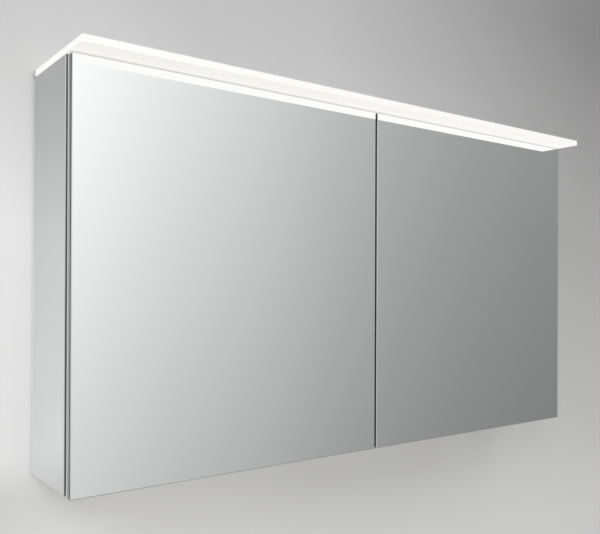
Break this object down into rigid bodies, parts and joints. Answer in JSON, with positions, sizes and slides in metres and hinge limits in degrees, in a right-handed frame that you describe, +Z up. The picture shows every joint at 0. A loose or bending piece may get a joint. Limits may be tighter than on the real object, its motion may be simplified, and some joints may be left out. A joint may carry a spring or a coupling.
{
  "type": "mirror cabinet",
  "caption": "Wall-hung mirror cabinet with hinged mirror doors, mirror-clad sides, glass shelves and a flat edge-lit light canopy over the doors.",
  "frame": {"origin": "centre of the four wall screws, on the wall plane at the back of the cabinet", "axes": "+X to the right along the width, -Y to the front, +Y into the wall, +Z up"},
  "size_m": [1.3, 0.2425, 0.714],
  "materials": {
    "white_laminate": "satin white laminate on board",
    "mirror_glass": "silvered mirror, polished bevel",
    "clear_glass": "clear float glass, polished edges",
    "nickel_fittings": "satin nickel plate",
    "zinc_steel": "zinc plate",
    "grey_plastic": "moulded, fine grain",
    "acrylic_guide": "clear acrylic lit from its rear edge, glows warm white",
    "reflector_film": "matt white sheet",
    "anodised_aluminium": "fine brushed, silver anodised",
    "led_board": "white solder mask",
    "led_phosphor": "yellow phosphor",
    "white_plastic": "moulded, semi-gloss",
    "rocker_plastic": "moulded, gloss",
    "lead_sheath": "extruded sheath",
    "brass_contacts": "bright",
    "door_board": "white faced board",
    "clear_buffer": "clear soft buffer"
  },
  "bodies": {
    "root": {"left_side_panel": "white_laminate", "right_side_panel": "white_laminate", "left_side_mirror": "mirror_glass", "right_side_mirror": "mirror_glass", "top_panel": "white_laminate", "bottom_panel": "white_laminate", "bottom_rails": "white_laminate", "back_panel": "white_laminate", "centre_partition": "white_laminate", "left_lower_shelf": "clear_glass", "left_upper_shelf": "clear_glass", "right_lower_shelf": "clear_glass", "right_upper_shelf": "clear_glass", "shelf_pins": "nickel_fittings", "carcass_screws": "nickel_fittings", "wall_plates": "zinc_steel", "hanger_housings": "grey_plastic", "hanger_hooks": "zinc_steel", "hinge_plates": "nickel_fittings", "hinge_arms": "nickel_fittings", "arm_pins": "nickel_fittings", "hinge_screws": "nickel_fittings", "light_guide": "acrylic_guide", "canopy_reflector": "reflector_film", "light_channel": "anodised_aluminium", "led_strip": "led_board", "led_chips": "led_phosphor", "canopy_screws": "nickel_fittings", "led_driver": "white_plastic", "terminal_box": "white_plastic", "terminal_lid": "white_plastic", "mains_gland": "grey_plastic", "driver_lead": "lead_sheath", "light_lead": "lead_sheath", "socket_lead": "lead_sheath", "lead_clips": "white_plastic", "socket_housing": "white_plastic", "socket_front": "white_plastic", "socket_contacts": "brass_contacts"},
    "left_links": {"left_hinge_links": "nickel_fittings"},
    "left_door": {"left_front_mirror": "mirror_glass", "left_edge_profile": "anodised_aluminium", "left_door_board": "door_board", "left_inner_mirror": "mirror_glass", "left_hinge_cups": "nickel_fittings", "left_cup_pins": "nickel_fittings", "left_cup_screws": "nickel_fittings", "left_buffers": "clear_buffer"},
    "right_links": {"right_hinge_links": "nickel_fittings"},
    "right_door": {"right_front_mirror": "mirror_glass", "right_edge_profile": "anodised_aluminium", "right_door_board": "door_board", "right_inner_mirror": "mirror_glass", "right_hinge_cups": "nickel_fittings", "right_cup_pins": "nickel_fittings", "right_cup_screws": "nickel_fittings", "right_buffers": "clear_buffer"},
    "rocker": {"rocker_switch": "rocker_plastic"}
  },
  "joints": [
    {"name": "left_link_fold", "type": "hinge", "parent": "root", "child": "left_links", "pos_m": [-0.617, -0.1715, -0.29], "axis": [0, 0, 1], "range_deg": [0, 35]},
    {"name": "left_door_swing", "type": "hinge", "parent": "left_links", "child": "left_door", "pos_m": [-0.6355, -0.1775, -0.29], "axis": [0, 0, -1], "range_deg": [0, 140]},
    {"name": "right_link_fold", "type": "hinge", "parent": "root", "child": "right_links", "pos_m": [0.617, -0.1715, -0.29], "axis": [0, 0, -1], "range_deg": [0, 35]},
    {"name": "right_door_swing", "type": "hinge", "parent": "right_links", "child": "right_door", "pos_m": [0.6355, -0.1775, -0.29], "axis": [0, 0, 1], "range_deg": [0, 140]},
    {"name": "rocker_tilt", "type": "hinge", "parent": "root", "child": "rocker", "pos_m": [0.106, -0.068, -0.592], "axis": [-1, 0, 0], "range_deg": [0, 14]}
  ],
  "couplings": [
    {"joint": "left_door_swing", "follows": "left_link_fold", "ratio": 4},
    {"joint": "right_door_swing", "follows": "right_link_fold", "ratio": 4}
  ]
}
